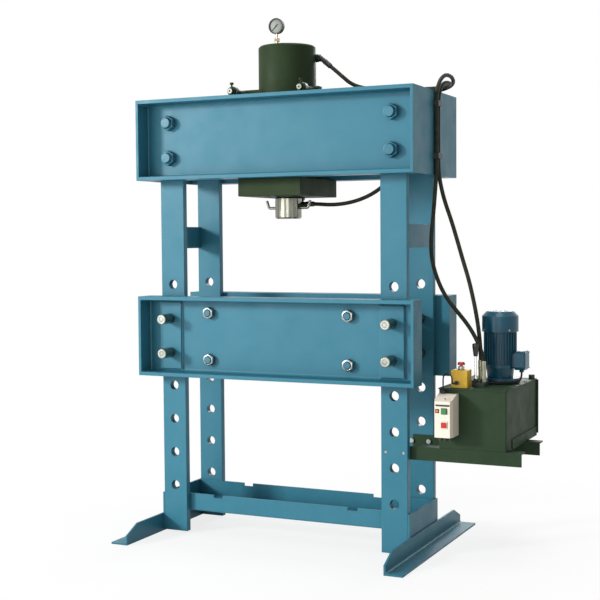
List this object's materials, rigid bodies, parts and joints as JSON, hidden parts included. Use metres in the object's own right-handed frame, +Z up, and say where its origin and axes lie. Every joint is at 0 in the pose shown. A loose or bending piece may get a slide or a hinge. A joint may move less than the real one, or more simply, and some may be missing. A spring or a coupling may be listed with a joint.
{
  "type": "hydraulic press",
  "caption": "H-frame workshop press with a sliding hydraulic cylinder under a channel head, a pinned height-adjustable bed and a motor-driven power pack on side arms.",
  "frame": {"origin": "on the floor, at the centre of the box round the press and its side arms, hoses and cables left out", "axes": "+Z up, +X along the beams towards the power pack, -Y towards the operator"},
  "size_m": [1.717, 0.96, 2.258],
  "materials": {
    "frame_paint": "satin blue-grey enamel, slightly mottled",
    "bolt_paint": "satin blue-grey enamel over nuts and studs",
    "zinc": "zinc-plated, with blue-painted ends",
    "pin_steel": "bright drawn bar",
    "cylinder_paint": "dark olive-green enamel",
    "tank_paint": "dark olive-green enamel",
    "arm_paint": "dark olive-green enamel",
    "ram_steel": "hard chromed and ground",
    "nose_steel": "turned steel, oiled",
    "fitting_steel": "yellow-passivated steel",
    "brass": "turned brass",
    "gauge_black": "black enamel case with a white dial",
    "pointer_black": "matt black",
    "roller_steel": "turned steel",
    "pump_iron": "as cast",
    "bell_paint": "dark enamel",
    "motor_paint": "deep blue enamel on cast aluminium",
    "rotor_steel": "turned steel shaft with a moulded fan",
    "valve_iron": "phosphated block",
    "lever_black": "black knob on a bright rod",
    "breather_black": "moulded cap",
    "estop_yellow": "moulded box with a metal collar",
    "button_red": "moulded mushroom button",
    "button_green": "moulded key",
    "starter_cream": "moulded housing",
    "lamp_orange": "translucent lens",
    "gland_black": "moulded nylon",
    "hose_rubber": "smooth rubber cover",
    "cable_black": "smooth sheath",
    "clip_steel": "dark enamel"
  },
  "bodies": {
    "press_frame": {"upright_front_left": "frame_paint", "upright_front_right": "frame_paint", "upright_back_left": "frame_paint", "upright_back_right": "frame_paint", "head_front_beam": "frame_paint", "head_back_beam": "frame_paint", "head_end_plates": "frame_paint", "bed_front_beam": "frame_paint", "bed_back_beam": "frame_paint", "tie_plates": "frame_paint", "base_side_plates": "frame_paint", "base_tray": "frame_paint", "foot_left": "frame_paint", "foot_right": "frame_paint", "head_bolts": "bolt_paint", "bed_tie_bolts": "zinc", "arm_bolts": "zinc", "bracket_arm_front": "arm_paint", "bracket_arm_back": "arm_paint", "tank_body": "tank_paint", "tank_lid": "tank_paint", "gear_pump": "pump_iron", "bell_housing": "bell_paint", "motor_frame": "motor_paint", "fan_cover": "motor_paint", "terminal_box": "motor_paint", "valve_block": "valve_iron", "pack_fittings": "fitting_steel", "estop_box": "estop_yellow", "starter_box": "starter_cream", "starter_lamp": "lamp_orange", "cable_glands": "gland_black", "hose_clips": "clip_steel", "hose_top": "hose_rubber", "hose_bottom": "hose_rubber", "estop_cable": "cable_black", "motor_cable": "cable_black"},
    "lock_pin_left_lower": {"lock_pin_left_lower": "pin_steel"},
    "lock_pin_left_upper": {"lock_pin_left_upper": "pin_steel"},
    "lock_pin_right_lower": {"lock_pin_right_lower": "pin_steel"},
    "lock_pin_right_upper": {"lock_pin_right_upper": "pin_steel"},
    "cylinder": {"cylinder_barrel": "cylinder_paint", "cylinder_block": "cylinder_paint", "cylinder_fittings": "fitting_steel", "gauge_case": "gauge_black", "gauge_stem": "brass"},
    "rollers_left": {"rollers_left": "roller_steel"},
    "rollers_right": {"rollers_right": "roller_steel"},
    "ram": {"ram_rod": "ram_steel", "ram_nose": "nose_steel"},
    "nose_screw_left": {"nose_screw_left": "pin_steel"},
    "nose_screw_right": {"nose_screw_right": "pin_steel"},
    "gauge_pointer": {"gauge_pointer": "pointer_black"},
    "motor_rotor": {"motor_rotor": "rotor_steel"},
    "valve_lever": {"valve_lever": "lever_black"},
    "breather_cap": {"breather_cap": "breather_black"},
    "estop_button": {"estop_button": "button_red"},
    "start_button": {"start_button": "button_green"},
    "stop_button": {"stop_button": "button_red"}
  },
  "joints": [
    {"name": "lock_pin_left_lower_slide", "type": "slide", "parent": "press_frame", "child": "lock_pin_left_lower", "axis": [0, -1, 0], "range_m": [0, 0.48]},
    {"name": "lock_pin_left_upper_slide", "type": "slide", "parent": "press_frame", "child": "lock_pin_left_upper", "axis": [0, -1, 0], "range_m": [0, 0.48]},
    {"name": "lock_pin_right_lower_slide", "type": "slide", "parent": "press_frame", "child": "lock_pin_right_lower", "axis": [0, -1, 0], "range_m": [0, 0.48]},
    {"name": "lock_pin_right_upper_slide", "type": "slide", "parent": "press_frame", "child": "lock_pin_right_upper", "axis": [0, -1, 0], "range_m": [0, 0.48]},
    {"name": "cylinder_slide", "type": "slide", "parent": "press_frame", "child": "cylinder", "axis": [1, 0, 0], "range_m": [-0.183, 0.257], "deforming": ["hose_top", "hose_bottom"]},
    {"name": "rollers_left_turn", "type": "hinge", "parent": "cylinder", "child": "rollers_left", "pos_m": [-0.3895, 0, 1.9443], "axis": [0, 1, 0], "range_deg": [-500, 700]},
    {"name": "rollers_right_turn", "type": "hinge", "parent": "cylinder", "child": "rollers_right", "pos_m": [-0.0635, 0, 1.9443], "axis": [0, 1, 0], "range_deg": [-500, 700]},
    {"name": "ram_slide", "type": "slide", "parent": "cylinder", "child": "ram", "axis": [0, 0, -1], "range_m": [0, 0.3]},
    {"name": "nose_screw_left_turn", "type": "hinge", "parent": "ram", "child": "nose_screw_left", "pos_m": [-0.3065, 0, 1.4477], "axis": [1, 0, 0], "range_deg": [-200, 0]},
    {"name": "nose_screw_right_turn", "type": "hinge", "parent": "ram", "child": "nose_screw_right", "pos_m": [-0.1465, 0, 1.4477], "axis": [1, 0, 0], "range_deg": [-200, 0]},
    {"name": "gauge_pointer_turn", "type": "hinge", "parent": "cylinder", "child": "gauge_pointer", "pos_m": [-0.2265, -0.112, 2.224], "axis": [0, 1, 0], "range_deg": [0, 270], "stiffness_Nm_per_rad": 0.002},
    {"name": "motor_turn", "type": "hinge", "parent": "press_frame", "child": "motor_rotor", "pos_m": [0.6935, 0.13, 0.9], "axis": [0, 0, 1], "continuous": true},
    {"name": "valve_lever_turn", "type": "hinge", "parent": "press_frame", "child": "valve_lever", "pos_m": [0.6425, -0.055, 0.7283], "axis": [0, 1, 0], "range_deg": [-15, 15], "stiffness_Nm_per_rad": 4},
    {"name": "breather_turn", "type": "hinge", "parent": "press_frame", "child": "breather_cap", "pos_m": [0.7825, 0.308, 0.71], "axis": [0, 0, 1], "range_deg": [0, 90]},
    {"name": "estop_push", "type": "slide", "parent": "press_frame", "child": "estop_button", "axis": [0, 0, -1], "range_m": [0, 0.005]},
    {"name": "start_push", "type": "slide", "parent": "press_frame", "child": "start_button", "axis": [0, 1, 0], "range_m": [0, 0.003], "stiffness_N_per_m": 400},
    {"name": "stop_push", "type": "slide", "parent": "press_frame", "child": "stop_button", "axis": [0, 1, 0], "range_m": [0, 0.003], "stiffness_N_per_m": 400}
  ],
  "couplings": [
    {"joint": "rollers_left_turn", "follows": "cylinder_slide", "rad_per_m": 45.455},
    {"joint": "rollers_right_turn", "follows": "cylinder_slide", "rad_per_m": 45.455}
  ]
}
